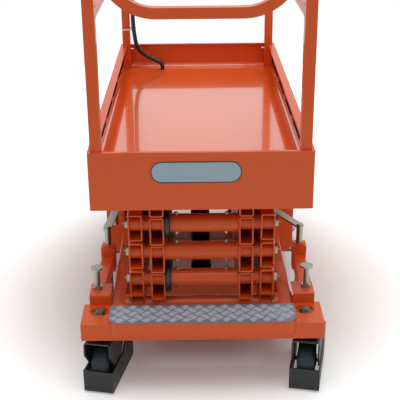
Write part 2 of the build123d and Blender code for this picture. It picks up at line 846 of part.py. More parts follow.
# Stem nuts: the screwed stems with their washers and nuts, set in the beam's recesses
with BuildPart() as stem_nuts:
    washer_z = chassis_top - stem_recess
    nut_z = washer_z + stem_washer
    for side in SIDES:
        x = side * stem_x
        bar_z(x, stem_y, caster_height, nut_z + stem_nut + 3, stem_radius)
        bar_z(x, stem_y, washer_z, nut_z, stem_radius + 9)
        with BuildSketch(Plane.XY.offset(nut_z)):
            with Locations((x, stem_y)):
                RegularPolygon(stem_radius + 5, 6)
        extrude(amount=stem_nut)
finish(stem_nuts.part, "stem_nuts")


def fork_shape(crown_z, axle_y, front, bored):
    """Build a caster fork about its own stem axis: an inverted U with legs down to the axle."""
    offset_x = caster_offset if bored else 0
    with BuildPart() as fork:
        section = Plane(origin=(offset_x, -front, 0), x_dir=(1, 0, 0), z_dir=(0, 1, 0))
        half = fork_width / 2
        low = wheel_radius - 18
        with BuildSketch(section):
            with BuildLine():
                Polyline((-half, -low), (-half, -crown_z), (half, -crown_z), (half, -low), close=True)
            make_face()
            with BuildLine():
                inner = half - fork_plate
                top = crown_z - fork_plate
                Polyline((-inner, -low), (-inner, -top), (inner, -top), (inner, -low), close=True)
            make_face(mode=Mode.SUBTRACT)
        extrude(amount=front + fork_rear)
        shoulders = fork.edges().filter_by(Axis.Y).group_by(Axis.Z)[-1]
        fillet(shoulders, fork_shoulder)
        side_view = Plane(origin=(-half - 20, 0, 0), x_dir=(0, 1, 0), z_dir=(1, 0, 0))
        with BuildSketch(side_view):
            with Locations((axle_y, wheel_radius)):
                Circle(17)
            with Locations(((fork_rear - front) / 2, crown_z - 22)):
                Rectangle(front + fork_rear, 44)
            make_hull()
        extrude(amount=fork_width + 60, mode=Mode.INTERSECT)
        if bored:
            bar_z(0, 0, crown_z - fork_plate, crown_z, kingpin_radius + pin_play, Mode.SUBTRACT)
        bar_x(offset_x - half - 3, offset_x + half + 3, axle_y, wheel_radius, axle_radius)
    return fork.part


def wheel_shape():
    """Build a wheel on the X axis: a crowned tyre on a webbed core, bored for its axle."""
    half = wheel_width / 2
    with BuildPart() as wheel:
        with BuildSketch(Plane.XY):
            with BuildLine():
                Polyline(
                    (-half - 4, axle_radius + pin_play),
                    (half + 4, axle_radius + pin_play),
                    (half + 4, 17),
                    (half - 8, 20),
                    (half - 8, 40),
                    (half, 44),
                    (half, wheel_radius - 6),
                    (half - 7, wheel_radius),
                    (7 - half, wheel_radius),
                    (-half, wheel_radius - 6),
                    (-half, 44),
                    (8 - half, 40),
                    (8 - half, 20),
                    (-half - 4, 17),
                    close=True,
                )
            make_face()
        revolve(axis=Axis.X)
    return wheel.part


def guard_shape():
    """Build a foot guard about its caster's stem axis: a front panel and two rising side walls."""
    half = guard_half
    low_top = guard_lift + guard_front_height
    high_top = guard_lift + guard_rear_height
    with BuildPart() as guard:
        side_view = Plane(origin=(caster_offset - half, 0, 0), x_dir=(0, 1, 0), z_dir=(1, 0, 0))
        with BuildSketch(side_view):
            with BuildLine():
                Polyline(
                    (-guard_front, guard_lift),
                    (guard_rear, guard_lift),
                    (guard_rear, high_top),
                    (guard_step + guard_slope, high_top),
                    (guard_step, low_top),
                    (-guard_front, low_top),
                    close=True,
                )
            make_face()
        extrude(amount=2 * half)
        block(
            (caster_offset - half + guard_wall, caster_offset + half - guard_wall),
            (-guard_front + guard_wall, guard_rear),
            (0, caster_height),
            Mode.SUBTRACT,
        )
        axle_ends = (caster_offset - half, caster_offset + half)
        bar_x(*axle_ends, caster_trail, wheel_radius, axle_radius, Mode.SUBTRACT)
    return guard.part


crown_top = caster_height - caster_plate - fork_gap
swivel_fork = fork_shape(crown_top, caster_trail, fork_front, True)
swivel_guard = guard_shape()
round_wheel = wheel_shape()
for side, side_name in ((-1, "left"), (1, "right")):
    stem_place = Location((side * stem_x, stem_y, 0), (0, 0, caster_turn))
    with BuildPart() as fork:
        with Locations(stem_place):
            add(swivel_fork)
    finish(fork.part, f"caster_fork_{side_name}")
    with BuildPart() as guard:
        with Locations(stem_place):
            add(swivel_guard)
    finish(guard.part, f"caster_guard_{side_name}")
    with BuildPart() as wheel:
        with Locations(stem_place * Location((caster_offset, caster_trail, wheel_radius))):
            add(round_wheel)
    finish(wheel.part, f"wheel_front_{side_name}")
    with BuildPart() as wheel:
        with Locations((side * stem_x, rear_wheel_y, wheel_radius)):
            add(round_wheel)
    finish(wheel.part, f"wheel_rear_{side_name}")

# Rear forks, fixed under the rear beam
fixed_fork = fork_shape(caster_height - caster_plate, 0, fork_rear, False)
with BuildPart() as rear_forks:
    for side in SIDES:
        with Locations((side * stem_x, rear_wheel_y, 0)):
            add(fixed_fork)
        size = caster_plate_size / 2
        block(
            (side * stem_x - size, side * stem_x + size),
            (rear_wheel_y - fork_rear, rear_end),
            (caster_height - caster_plate, caster_height),
        )
finish(rear_forks.part, "rear_forks")

# Outrigger brackets: a clevis at each corner, between the rail and the beam's corner
tube_z = (outrigger_z, outrigger_z + outrigger_tube)
low_plate = (tube_z[0] - clevis_gap - bracket_plate, tube_z[0] - clevis_gap)
high_plate = (tube_z[1] + clevis_gap, tube_z[1] + clevis_gap + bracket_plate)
with BuildPart() as outrigger_brackets:
    for side in SIDES:
        bracket_x = sorted((side * rail_outer, side * bracket_outer))
        for edge_y, pivot, way in ((corner_back, front_pivot_y, 1), (rear_beam_front, rear_pivot_y, -1)):
            far_y = edge_y + way * bracket_depth
            lip_y = edge_y - way * bracket_lip
            block(bracket_x, sorted((edge_y, far_y)), low_plate)
            block(bracket_x, sorted((lip_y, far_y)), high_plate)
            block(bracket_x, sorted((lip_y, edge_y)), (chassis_top, high_plate[1]))
            for plate in (low_plate, high_plate):
                bar_z(side * outrigger_x, pivot, *plate, pivot_pin_radius, Mode.SUBTRACT)
    rounds = outrigger_brackets.edges().filter_by(Axis.X).group_by(Axis.Z)[-1]
    front_rounds = rounds.group_by(Axis.Y)[0] + rounds.group_by(Axis.Y)[-1]
    fillet(front_rounds, bracket_lip - 1)
finish(outrigger_brackets.part, "outrigger_brackets")

# Outrigger pins: each has a mushroom head on a thin stem above its collar
with BuildPart() as outrigger_pins:
    for side in SIDES:
        for pivot in (front_pivot_y, rear_pivot_y):
            x = side * outrigger_x
            head_z = high_plate[1] + mushroom_rise
            bar_z(x, pivot, low_plate[0] - 3, head_z, pivot_pin_radius)
            bar_z(x, pivot, high_plate[1], high_plate[1] + collar_height, collar_radius)
            bar_z(x, pivot, head_z, head_z + 5, mushroom_radius)
finish(outrigger_pins.part, "outrigger_pins")


def outrigger_arm_shape():
    """Build an outrigger arm from its pivot along +Y to the jack's sleeve."""
    half = outrigger_tube / 2
    with BuildPart() as arm:
        middle_z = sum(tube_z) / 2
        near = -half - outrigger_nose
        section = (outrigger_tube, outrigger_tube, outrigger_wall, outrigger_corner)
        tube_y(0, middle_z, near, outrigger_length, *section)
        bar_z(0, 0, *tube_z, pivot_pin_radius + 6)
        bar_z(0, 0, *tube_z, pivot_pin_radius + pin_play, Mode.SUBTRACT)
        sleeve = jack_sleeve / 2
        sleeve_z = (tube_z[0] - jack_sleeve_drop, tube_z[1] + jack_sleeve_top)
        block((-sleeve, sleeve), (outrigger_length - sleeve, outrigger_length + sleeve), sleeve_z)
        bar_z(0, outrigger_length, sleeve_z[1], sleeve_z[1] + 4, 18)
        bore = jack_rod_radius + pin_play
        bar_z(0, outrigger_length, sleeve_z[0], sleeve_z[1] + 4, bore, Mode.SUBTRACT)
    return arm.part


def jack_shape(crank_angle):
    """Build a jack screw about its own axis, with its foot and its crank at an angle."""
    with BuildPart() as jack:
        bar_z(0, 0, foot_lift, jack_rod_top, jack_rod_radius)
        bar_z(0, 0, foot_lift, foot_lift + foot_thickness, foot_radius)
        bar_z(0, 0, foot_lift, foot_lift + foot_cup, foot_cup_radius)
        crank = Plane(
            origin=(0, 0, crank_height),
            x_dir=(cos(radians(crank_angle)), sin(radians(crank_angle)), 0),
            z_dir=(0, 0, 1),
        )
        with BuildSketch(crank):
            with Locations((crank_length / 2, 0)):
                SlotCenterToCenter(crank_length, crank_width)
        extrude(amount=crank_plate)
        with BuildSketch(crank):
            with Locations((crank_length, 0)):
                Circle(grip_radius)
        extrude(amount=-grip_length)
    return jack.part


arm_part = outrigger_arm_shape()
for side, side_name in ((-1, "left"), (1, "right")):
    for end_name, pivot, turn in (("front", front_pivot_y, 0), ("rear", rear_pivot_y, 180)):
        toe = (left_toe if side < 0 else right_toe) if end_name == "front" else side * rear_toe
        arm_place = Location((side * outrigger_x, pivot, 0), (0, 0, turn + toe))
        with BuildPart() as outrigger_arm:
            with Locations(arm_place):
                add(arm_part)
        finish(outrigger_arm.part, f"outrigger_arm_{end_name}_{side_name}")
        jack_place = arm_place * Location((0, outrigger_length, 0))
        if end_name == "front":
            inboard = 84 if side < 0 else 119
        else:
            inboard = 62 if side < 0 else 118
        world_turn = turn + toe
        with BuildPart() as jack:
            with Locations(jack_place):
                add(jack_shape(inboard - world_turn))
        finish(jack.part, f"jack_{end_name}_{side_name}")

# Side boxes hung on the rails, with the battery and the pump set inside as plain blocks
with BuildPart() as side_boxes:
    for side in SIDES:
        box_near = rail_outer + side_box_gap
        box_x_pair = sorted((side * box_near, side * (box_near + side_box_width)))
        y0 = deck_front + side_box_front
        y_pair = (y0, y0 + side_box_length)
        z_pair = (side_box_floor, side_box_floor + side_box_height)
        block(box_x_pair, y_pair, z_pair)
        block(
            (box_x_pair[0] + side_box_wall, box_x_pair[1] - side_box_wall),
            (y_pair[0] + side_box_wall, y_pair[1] - side_box_wall),
            (z_pair[0] + side_box_wall, z_pair[1] - side_box_wall),
            Mode.SUBTRACT,
        )
        hanger = sorted((side * rail_outer, side * box_near))
        block(hanger, (y0 + 20, y0 + side_box_length - 20), (caster_height + 5, chassis_top - 5))
finish(side_boxes.part, "side_boxes")

with BuildPart() as power_blocks:
    for side in SIDES:
        near = rail_outer + side_box_gap + side_box_wall + block_margin
        far = rail_outer + side_box_gap + side_box_width - side_box_wall - block_margin
        y0 = deck_front + side_box_front + side_box_wall + block_margin
        y1 = deck_front + side_box_front + side_box_length - side_box_wall - block_margin
        low = side_box_floor + side_box_wall
        block(sorted((side * near, side * far)), (y0, y1), (low, low + block_height))
finish(power_blocks.part, "power_blocks")

# Hose loops round the front cross tubes, where the line passes from stage to stage
for stage in (1, 3):
    with BuildPart() as hose_local:
        x = -(inner_inner_face - hose_inset)
        bend = cross_tube_radius + hose_radius + hose_seat
        with BuildLine() as route:
            top_line = Line((x, hose_run, bend), (x, 0, bend))
            ThreePointArc(top_line @ 1, (x, -bend, 0), (x, 0, -bend))
            Line((x, 0, -bend), (x, hose_run * 0.6, -bend))
        with BuildSketch(Plane(top_line @ 0, z_dir=top_line % 0)):
            Circle(hose_radius)
        sweep(path=route.line)
    with BuildPart() as hose_loop:
        with Locations(falling_frame(stage).location):
            add(hose_local.part)
    finish(hose_loop.part, f"hose_loop_{stage}")
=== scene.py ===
"""Dresses a push-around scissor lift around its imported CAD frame: paint, chequer plate, welds and bolts."""

from __future__ import annotations

import json
import logging
import math
from dataclasses import dataclass, field
from enum import Enum
from typing import Any, Callable, Iterable, Sequence

import bmesh
import bpy
from mathutils import Matrix, Vector

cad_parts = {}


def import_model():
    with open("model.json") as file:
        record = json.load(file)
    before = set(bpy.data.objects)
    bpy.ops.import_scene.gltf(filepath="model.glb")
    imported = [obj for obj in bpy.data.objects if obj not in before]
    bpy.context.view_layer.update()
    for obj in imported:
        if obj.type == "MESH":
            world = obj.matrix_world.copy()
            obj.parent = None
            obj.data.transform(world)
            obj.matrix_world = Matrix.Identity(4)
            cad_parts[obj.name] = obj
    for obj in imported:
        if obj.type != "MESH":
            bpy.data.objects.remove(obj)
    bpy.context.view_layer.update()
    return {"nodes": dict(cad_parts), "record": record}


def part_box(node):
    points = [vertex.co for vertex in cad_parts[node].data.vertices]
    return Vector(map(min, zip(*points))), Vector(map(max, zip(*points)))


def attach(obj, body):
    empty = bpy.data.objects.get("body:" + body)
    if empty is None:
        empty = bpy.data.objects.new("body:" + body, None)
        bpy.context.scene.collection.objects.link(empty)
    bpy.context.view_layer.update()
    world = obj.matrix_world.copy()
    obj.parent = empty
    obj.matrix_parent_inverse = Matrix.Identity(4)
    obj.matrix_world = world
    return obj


LOG = logging.getLogger("scissor_lift")
MM = 0.001
STAGES = 4
SIDES = (-1, 1)
WASHER_DEPTH = 0.0024
BEAD_SPACING = 1.1
Point = tuple[float, float, float]


def linear(hex_colour: str) -> tuple[float, float, float, float]:
    """Turn an sRGB hex colour into linear light.

    Args:
        hex_colour: Colour as six hex digits.

    Returns:
        Linear red, green, blue and an alpha of one.
    """
    channels = [int(hex_colour[i : i + 2], 16) / 255 for i in (0, 2, 4)]
    values = [c / 12.92 if c <= 0.04045 else ((c + 0.055) / 1.055) ** 2.4 for c in channels]
    return (values[0], values[1], values[2], 1.0)


def add_node(
    tree: bpy.types.NodeTree,
    kind: str,
    settings: dict[str, Any] | None = None,
    links: dict[str | int, Any] | None = None,
) -> bpy.types.Node:
    """Add a node with its settings, socket values and incoming links.

    Args:
        tree: Shader or geometry tree to add to.
        kind: Node type identifier.
        settings: Attributes to set on the node.
        links: Input name or index to a value, or to an output socket to link from.

    Returns:
        The new node.
    """
    node = tree.nodes.new(kind)
    for name, value in (settings or {}).items():
        setattr(node, name, value)
    for key, value in (links or {}).items():
        socket = node.inputs[key]
        if isinstance(value, bpy.types.NodeSocket):
            tree.links.new(value, socket)
        else:
            socket.default_value = value
    return node


class Surface(Enum):
    """How a finish's surface was made."""

    SMOOTH = "smooth"
    SPRAYED = "sprayed"
    BRUSHED = "brushed"
    MOULDED = "moulded"


@dataclass(frozen=True)
class Finish:
    """One real finish: its colour, its gloss and how its surface was made."""

    name: str
    colour: str
    roughness: float
    metallic: float = 0.0
    specular: float = 0.5
    coat: float = 0.0
    coat_roughness: float = 0.05
    surface: Surface = Surface.SMOOTH
    grain_mm: float = 1.0
    relief_mm: float = 0.05
    mottle: float = 0.0

    def build(self) -> bpy.types.Material:
        """Make the finish's material.

        Returns:
            The new material.
        """
        material = bpy.data.materials.new(self.name)
        material.use_nodes = True
        tree = material.node_tree
        shader = tree.nodes["Principled BSDF"]
        shader.inputs["Base Color"].default_value = linear(self.colour)
        shader.inputs["Metallic"].default_value = self.metallic
        shader.inputs["Roughness"].default_value = self.roughness
        shader.inputs["Specular IOR Level"].default_value = self.specular
        shader.inputs["Coat Weight"].default_value = self.coat
        shader.inputs["Coat Roughness"].default_value = self.coat_roughness
        if self.surface is not Surface.SMOOTH:
            self._roughen(tree, shader)
        if self.mottle:
            self._shade(tree, shader)
        return material

    def _roughen(self, tree: bpy.types.NodeTree, shader: bpy.types.Node) -> None:
        """Give the surface its grain as a bump.

        Args:
            tree: The material's tree.
            shader: Its Principled node.
        """
        place = add_node(tree, "ShaderNodeTexCoord").outputs["Object"]
        stretch = (1.0, 0.04, 1.0) if self.surface is Surface.BRUSHED else (1.0, 1.0, 1.0)
        mapped = add_node(tree, "ShaderNodeMapping", links={"Vector": place, "Scale": stretch})
        noise = add_node(
            tree,
            "ShaderNodeTexNoise",
            links={"Vector": mapped.outputs[0], "Scale": 1.0 / (self.grain_mm * MM), "Detail": 3.0},
        )
        bump = add_node(
            tree,
            "ShaderNodeBump",
            links={"Height": noise.outputs["Fac"], "Distance": self.relief_mm * MM, "Strength": 0.6},
        )
        tree.links.new(bump.outputs[0], shader.inputs["Normal"])

    def _shade(self, tree: bpy.types.NodeTree, shader: bpy.types.Node) -> None:
        """Vary the colour slightly over the surface, as handling and dust do.

        Args:
            tree: The material's tree.
            shader: Its Principled node.
        """
        place = add_node(tree, "ShaderNodeTexCoord").outputs["Object"]
        noise = add_node(
            tree, "ShaderNodeTexNoise", links={"Vector": place, "Scale": 9.0, "Detail": 5.0}
        )
        base = linear(self.colour)
        dark = tuple(c * (1 - self.mottle) for c in base[:3]) + (1.0,)
        mix = add_node(tree, "ShaderNodeMix", {"data_type": "RGBA"})
        tree.links.new(noise.outputs["Fac"], mix.inputs[0])
        mix.inputs[6].default_value = dark
        mix.inputs[7].default_value = base
        tree.links.new(mix.outputs[2], shader.inputs["Base Color"])


# Sprayed and stoved gloss enamel over steel: a clear highlight with a slight orange peel
ENAMEL = Finish(
    "orange stoved enamel", "E25A1C", 0.36, specular=0.25, coat=0.2, coat_roughness=0.06,
    surface=Surface.SPRAYED, grain_mm=9.0, relief_mm=0.05, mottle=0.05,
)
# The platform's floor pan: the same enamel on flat sheet, levelled and glossier, its colour painted lighter
# and yellower than the rest as painted light for the light and reflection on its upward face
FLOOR_ENAMEL_PAINTED_LIGHT = Finish(
    "orange enamel on the floor pan with painted light", "EC6420", 0.2, coat=0.9, coat_roughness=0.04,
    surface=Surface.SPRAYED, grain_mm=60.0, relief_mm=0.12, mottle=0.04,
)
# Electroplated zinc on turned steel: bright, slightly cloudy metal
ZINC = Finish(
    "zinc plated steel", "9C9A8E", 0.34, metallic=1.0,
    surface=Surface.MOULDED, grain_mm=3.0, relief_mm=0.04, mottle=0.18,
)
# Rolled aluminium five-bar plate: dull grey sheet, its raised bars made brighter as a painted highlight
CHEQUER = Finish(
    "rolled aluminium plate", "8894A4", 0.4, metallic=0.2,
    surface=Surface.BRUSHED, grain_mm=1.2, relief_mm=0.04, mottle=0.2,
)
# Painted highlight: the bars' tops, a lighter copy of the plate's aluminium for the light the raised bars
# catch
CHEQUER_BAR_HIGHLIGHT = Finish("aluminium bar with painted highlight", "E2EAF2", 0.26, metallic=0.2)
# Black powder coat on folded sheet
BLACK_COAT = Finish(
    "black powder coat", "0B0D12", 0.46, surface=Surface.SPRAYED, grain_mm=1.6, relief_mm=0.05, mottle=0.2
)
# Vulcanised rubber tread, a little dusty
TYRE = Finish(
    "vulcanised rubber", "1E2A32", 0.66, surface=Surface.MOULDED, grain_mm=2.2, relief_mm=0.12, mottle=0.3
)
# Painted shade: thin dark sheets standing in for the shadow inside the gaps between the pan's stitch welds
PAN_SLOT_SHADE = Finish("painted slot shade", "1E0C07", 0.95, specular=0.1)
# Extruded rubber hose cover
HOSE = Finish("extruded hose rubber", "0E1014", 0.34)
# Hard chrome on the ground cylinder rod
CHROME = Finish("ground hard chrome", "D9DBDD", 0.12, metallic=1.0)
# Moulded ABS housing
HOUSING = Finish("moulded abs", "26282C", 0.5, surface=Surface.MOULDED, grain_mm=1.2, relief_mm=0.04)
# Screen-printed blank plate
PLATE_FACE = Finish("printed plate face", "9DB4C0", 0.35)
PLATE_EDGE = Finish("printed plate border", "1C1F26", 0.35)
# Nylon cable tie
TIE = Finish("white nylon", "E9EAE6", 0.4)
# Moulded buttons on the control box
RED_BUTTON = Finish("red moulded button", "C4201C", 0.3)
GREEN_BUTTON = Finish("green moulded button", "2C8A45", 0.3)
YELLOW_BUTTON = Finish("yellow moulded collar", "E2B21C", 0.35)

NODE_FINISHES: dict[str, Finish] = {
    "orange_paint": ENAMEL,
    "zinc_steel": ZINC,
    "chequer_plate": CHEQUER,
    "black_steel": BLACK_COAT,
    "tyre_rubber": TYRE,
    "hose_rubber": HOSE,
    "chromed_rod": CHROME,
    "black_paint": BLACK_COAT,
    "box_plastic": HOUSING,
}


class Shop:
    """Keeps one material for each finish and links finished pieces into the scene on their bodies."""

    def __init__(self) -> None:
        """Start with no materials."""
        self._materials: dict[str, bpy.types.Material] = {}

    def material(self, finish: Finish) -> bpy.types.Material:
        """Return the finish's material, made on first use.

        Args:
            finish: The finish wanted.

        Returns:
            Its material.
        """
        if finish.name not in self._materials:
            self._materials[finish.name] = finish.build()
        return self._materials[finish.name]

    def piece(
        self, name: str, mesh: bpy.types.Mesh, finish: Finish, body: str, slot: str
    ) -> bpy.types.Object:
        """Link a mesh as a finished piece that rides on a body.

        Args:
            name: Plain name of the piece.
            mesh: Its mesh, placed in the frame.
            finish: Its finish, if the mesh holds no material yet.
            body: CAD body it moves with.
            slot: Material slot of the record; not used.

        Returns:
            The new object.
        """
        item = bpy.data.objects.new(name.replace(" ", "_"), mesh)
        bpy.context.scene.collection.objects.link(item)
        if not mesh.materials:
            mesh.materials.append(self.material(finish))
        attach(item, body)
        LOG.info("%s on %s: %d faces", name, body, len(mesh.polygons))
        return item


def mesh_from(name: str, fill: Callable[[bmesh.types.BMesh], None]) -> bpy.types.Mesh:
    """Make a mesh with outward faces from a function that fills a bmesh.

    Args:
        name: Name of the mesh.
        fill: Function that adds the shapes.

    Returns:
        The new mesh.
    """
    shape = bmesh.new()
    fill(shape)
    bmesh.ops.recalc_face_normals(shape, faces=shape.faces)
    mesh = bpy.data.meshes.new(name)
    shape.to_mesh(mesh)
    shape.free()
    return mesh


def add_prism(
    shape: bmesh.types.BMesh,
    centre: Point,
    radius: float,
    depth: float,
    axis: Point = (0, 0, 1),
    sides: int = 24,
    top: float = 1.0,
) -> None:
    """Add a round or polygonal bar, or a cone.

    Args:
        shape: Bmesh to add to.
        centre: Middle of the bar in metres.
        radius: Its radius.
        depth: Its length.
        axis: Direction along it.
        sides: Number of sides.
        top: Radius at the far end as a share of the near one.
    """
    turn = Vector((0, 0, 1)).rotation_difference(Vector(axis)).to_matrix().to_4x4()
    place = Matrix.Translation(centre) @ turn
    bmesh.ops.create_cone(
        shape, cap_ends=True, segments=sides, radius1=radius, radius2=radius * top, depth=depth, matrix=place
    )


def add_block(shape: bmesh.types.BMesh, low: Point, high: Point) -> None:
    """Add a box between two corners.

    Args:
        shape: Bmesh to add to.
        low: Lowest corner in metres.
        high: Highest corner in metres.
    """
    centre = [(a + b) / 2 for a, b in zip(low, high)]
    scale = Matrix.Diagonal([b - a for a, b in zip(low, high)] + [1])
    bmesh.ops.create_cube(shape, size=1.0, matrix=Matrix.Translation(centre) @ scale)


class PatternTree:
    """A Geometry Nodes tree that sets one small shape at each of a mesh's points."""

    def __init__(self, name: str, inputs: Sequence[tuple[str, str, float | int]]) -> None:
        """Start a tree with a geometry input and named sizes.

        Args:
            name: Name of the tree.
            inputs: Name, socket type and default of each size.
        """
        self.tree = bpy.data.node_groups.new(name, "GeometryNodeTree")
        face = self.tree.interface
        face.new_socket("Geometry", in_out="INPUT", socket_type="NodeSocketGeometry")
        self.sockets: dict[str, str] = {}
        for label, kind, value in inputs:
            socket = face.new_socket(label, in_out="INPUT", socket_type=kind)
            socket.default_value = value
            self.sockets[label] = socket.identifier
        face.new_socket("Geometry", in_out="OUTPUT", socket_type="NodeSocketGeometry")
        self.start = add_node(self.tree, "NodeGroupInput")

    def size(self, label: str) -> bpy.types.NodeSocket:
        """Return the output socket of a named size."""
        return self.start.outputs[label]

    def close(self, geometry: bpy.types.NodeSocket, material: bpy.types.Material) -> None:
        """End the tree in real geometry with a material.

        Args:
            geometry: Instances or mesh to end with.
            material: Material to set.
        """
        real = add_node(self.tree, "GeometryNodeRealizeInstances", links={"Geometry": geometry})
        dressed = add_node(
            self.tree,
            "GeometryNodeSetMaterial",
            links={"Geometry": real.outputs[0], "Material": material},
        )
        add_node(self.tree, "NodeGroupOutput", links={"Geometry": dressed.outputs[0]})

    def grow(self, name: str, guide: bpy.types.Mesh, sizes: dict[str, float | int]) -> bpy.types.Mesh:
        """Run the tree on a guide mesh and return the plain result.

        Args:
            name: Name of the new mesh.
            guide: Mesh whose points or edges guide the pattern.
            sizes: Value of each named size.

        Returns:
            The finished mesh.
        """
        holder = bpy.data.objects.new(name + " guide", guide)
        bpy.context.scene.collection.objects.link(holder)
        modifier = holder.modifiers.new("pattern", "NODES")
        modifier.node_group = self.tree
        for label, value in sizes.items():
            modifier[self.sockets[label]] = value
        evaluated = holder.evaluated_get(bpy.context.evaluated_depsgraph_get())
        mesh = bpy.data.meshes.new_from_object(evaluated)
        mesh.name = name
        bpy.data.objects.remove(holder)
        return mesh


def guide_mesh(name: str, points: Iterable[Point], chains: Iterable[Sequence[Point]] = ()) -> bpy.types.Mesh:
    """Make a mesh of loose points and chains of edges to guide a pattern.

    Args:
        name: Name of the mesh.
        points: Loose points.
        chains: Point lists joined end to end.

    Returns:
        The guide mesh.
    """
    places = [tuple(p) for p in points]
    edges: list[tuple[int, int]] = []
    for chain in chains:
        first = len(places)
        places.extend(tuple(p) for p in chain)
        edges.extend((first + i, first + i + 1) for i in range(len(chain) - 1))
    mesh = bpy.data.meshes.new(name)
    mesh.from_pydata(places, edges, [])
    return mesh


class WeldBead(PatternTree):
    """A row of overlapping ripples laid along a path, as a welder leaves them."""

    def __init__(self, material: bpy.types.Material) -> None:
        """Build the tree.

        Args:
            material: Finish painted over the weld.
        """
        super().__init__(
            "weld bead",
            [
                ("Spacing", "NodeSocketFloat", 0.004),
                ("Radius", "NodeSocketFloat", 0.003),
                ("Seed", "NodeSocketInt", 3),
            ],
        )
        tree = self.tree
        path = add_node(tree, "GeometryNodeMeshToCurve", links={"Mesh": self.start.outputs["Geometry"]})
        spaced = add_node(
            tree,
            "GeometryNodeResampleCurve",
            {"mode": "LENGTH"},
            {"Curve": path.outputs[0], "Length": self.size("Spacing")},
        )
        ball = add_node(
            tree, "GeometryNodeMeshIcoSphere", links={"Radius": self.size("Radius"), "Subdivisions": 1}
        )
        uneven = add_node(
            tree,
            "FunctionNodeRandomValue",
            {"data_type": "FLOAT"},
            {2: 0.85, 3: 1.15, "Seed": self.size("Seed")},
        )
        beads = add_node(
            tree,
            "GeometryNodeInstanceOnPoints",
            links={"Points": spaced.outputs[0], "Instance": ball.outputs["Mesh"], "Scale": uneven.outputs[1]},
        )
        smooth = add_node(tree, "GeometryNodeSetShadeSmooth", links={0: beads.outputs[0]})
        self.close(smooth.outputs[0], material)


class BoltHeads(PatternTree):
    """Hexagon heads, each on a washer, set at a mesh's points and all turned by two angles."""

    def __init__(self, material: bpy.types.Material) -> None:
        """Build the tree.

        Args:
            material: Plating of the bolts.
        """
        super().__init__(
            "bolt heads",
            [
                ("Across", "NodeSocketFloat", 0.013),
                ("Height", "NodeSocketFloat", 0.006),
                ("Washer", "NodeSocketFloat", 0.009),
                ("Turn X", "NodeSocketFloat", 0.0),
                ("Turn Y", "NodeSocketFloat", 0.0),
            ],
        )
        tree = self.tree
        head = add_node(
            tree,
            "GeometryNodeMeshCylinder",
            links={"Vertices": 6, "Radius": self.size("Across"), "Depth": self.size("Height")},
        )
        half = add_node(tree, "ShaderNodeMath", {"operation": "MULTIPLY"}, {0: self.size("Height"), 1: 0.5})
        lift = add_node(tree, "ShaderNodeCombineXYZ", links={"Z": half.outputs[0]})
        raised = add_node(
            tree,
            "GeometryNodeTransform",
            links={"Geometry": head.outputs["Mesh"], "Translation": lift.outputs[0]},
        )
        washer = add_node(
            tree,
            "GeometryNodeMeshCylinder",
            links={
                "Vertices": 20,
                "Radius": self.size("Washer"),
                "Depth": WASHER_DEPTH,
            },
        )
        both = add_node(tree, "GeometryNodeJoinGeometry")
        tree.links.new(raised.outputs[0], both.inputs[0])
        tree.links.new(washer.outputs["Mesh"], both.inputs[0])
        turn = add_node(
            tree, "ShaderNodeCombineXYZ", links={"X": self.size("Turn X"), "Y": self.size("Turn Y")}
        )
        bolts = add_node(
            tree,
            "GeometryNodeInstanceOnPoints",
            links={
                "Points": self.start.outputs["Geometry"],
                "Instance": both.outputs[0],
                "Rotation": turn.outputs[0],
            },
        )
        self.close(bolts.outputs[0], material)


class TreadBars(PatternTree):
    """Raised lens-shaped bars set at a mesh's points, all turned to one heading."""

    def __init__(self, material: bpy.types.Material) -> None:
        """Build the tree.

        Args:
            material: Finish of the bars.
        """
        super().__init__(
            "tread bars",
            [
                ("Length", "NodeSocketFloat", 0.011),
                ("Width", "NodeSocketFloat", 0.0025),
                ("Height", "NodeSocketFloat", 0.0016),
                ("Heading", "NodeSocketFloat", 0.0),
            ],
        )
        tree = self.tree
        ball = add_node(tree, "GeometryNodeMeshIcoSphere", links={"Radius": 1.0, "Subdivisions": 2})
        size = add_node(
            tree,
            "ShaderNodeCombineXYZ",
            links={"X": self.size("Length"), "Y": self.size("Width"), "Z": self.size("Height")},
        )
        heading = add_node(tree, "ShaderNodeCombineXYZ", links={"Z": self.size("Heading")})
        bars = add_node(
            tree,
            "GeometryNodeInstanceOnPoints",
            links={
                "Points": self.start.outputs["Geometry"],
                "Instance": ball.outputs["Mesh"],
                "Rotation": heading.outputs[0],
                "Scale": size.outputs[0],
            },
        )
        smooth = add_node(tree, "GeometryNodeSetShadeSmooth", links={0: bars.outputs[0]})
        self.close(smooth.outputs[0], material)


def ring(centre: Point, radius: float, axis: int, steps: int = 40) -> list[Point]:
    """Return points round a circle square to an axis.

    Args:
        centre: Middle of the circle.
        radius: Its radius.
        axis: 0, 1 or 2 for the axis the circle is square to.
        steps: Number of edges.

    Returns:
        The closed ring's points, the first one repeated.
    """
    first, second = [i for i in range(3) if i != axis]
    points = []
    for step in range(steps + 1):
        angle = 2 * math.pi * step / steps
        place = list(centre)
        place[first] += radius * math.cos(angle)
        place[second] += radius * math.sin(angle)
        points.append(tuple(place))
    return points


def square(low: Point, high: Point) -> list[Point]:
    """Return the closed outline of a level rectangle at the height of its low corner."""
    z = low[2]
    start = (low[0], low[1], z)
    return [start, (high[0], low[1], z), (high[0], high[1], z), (low[0], high[1], z), start]


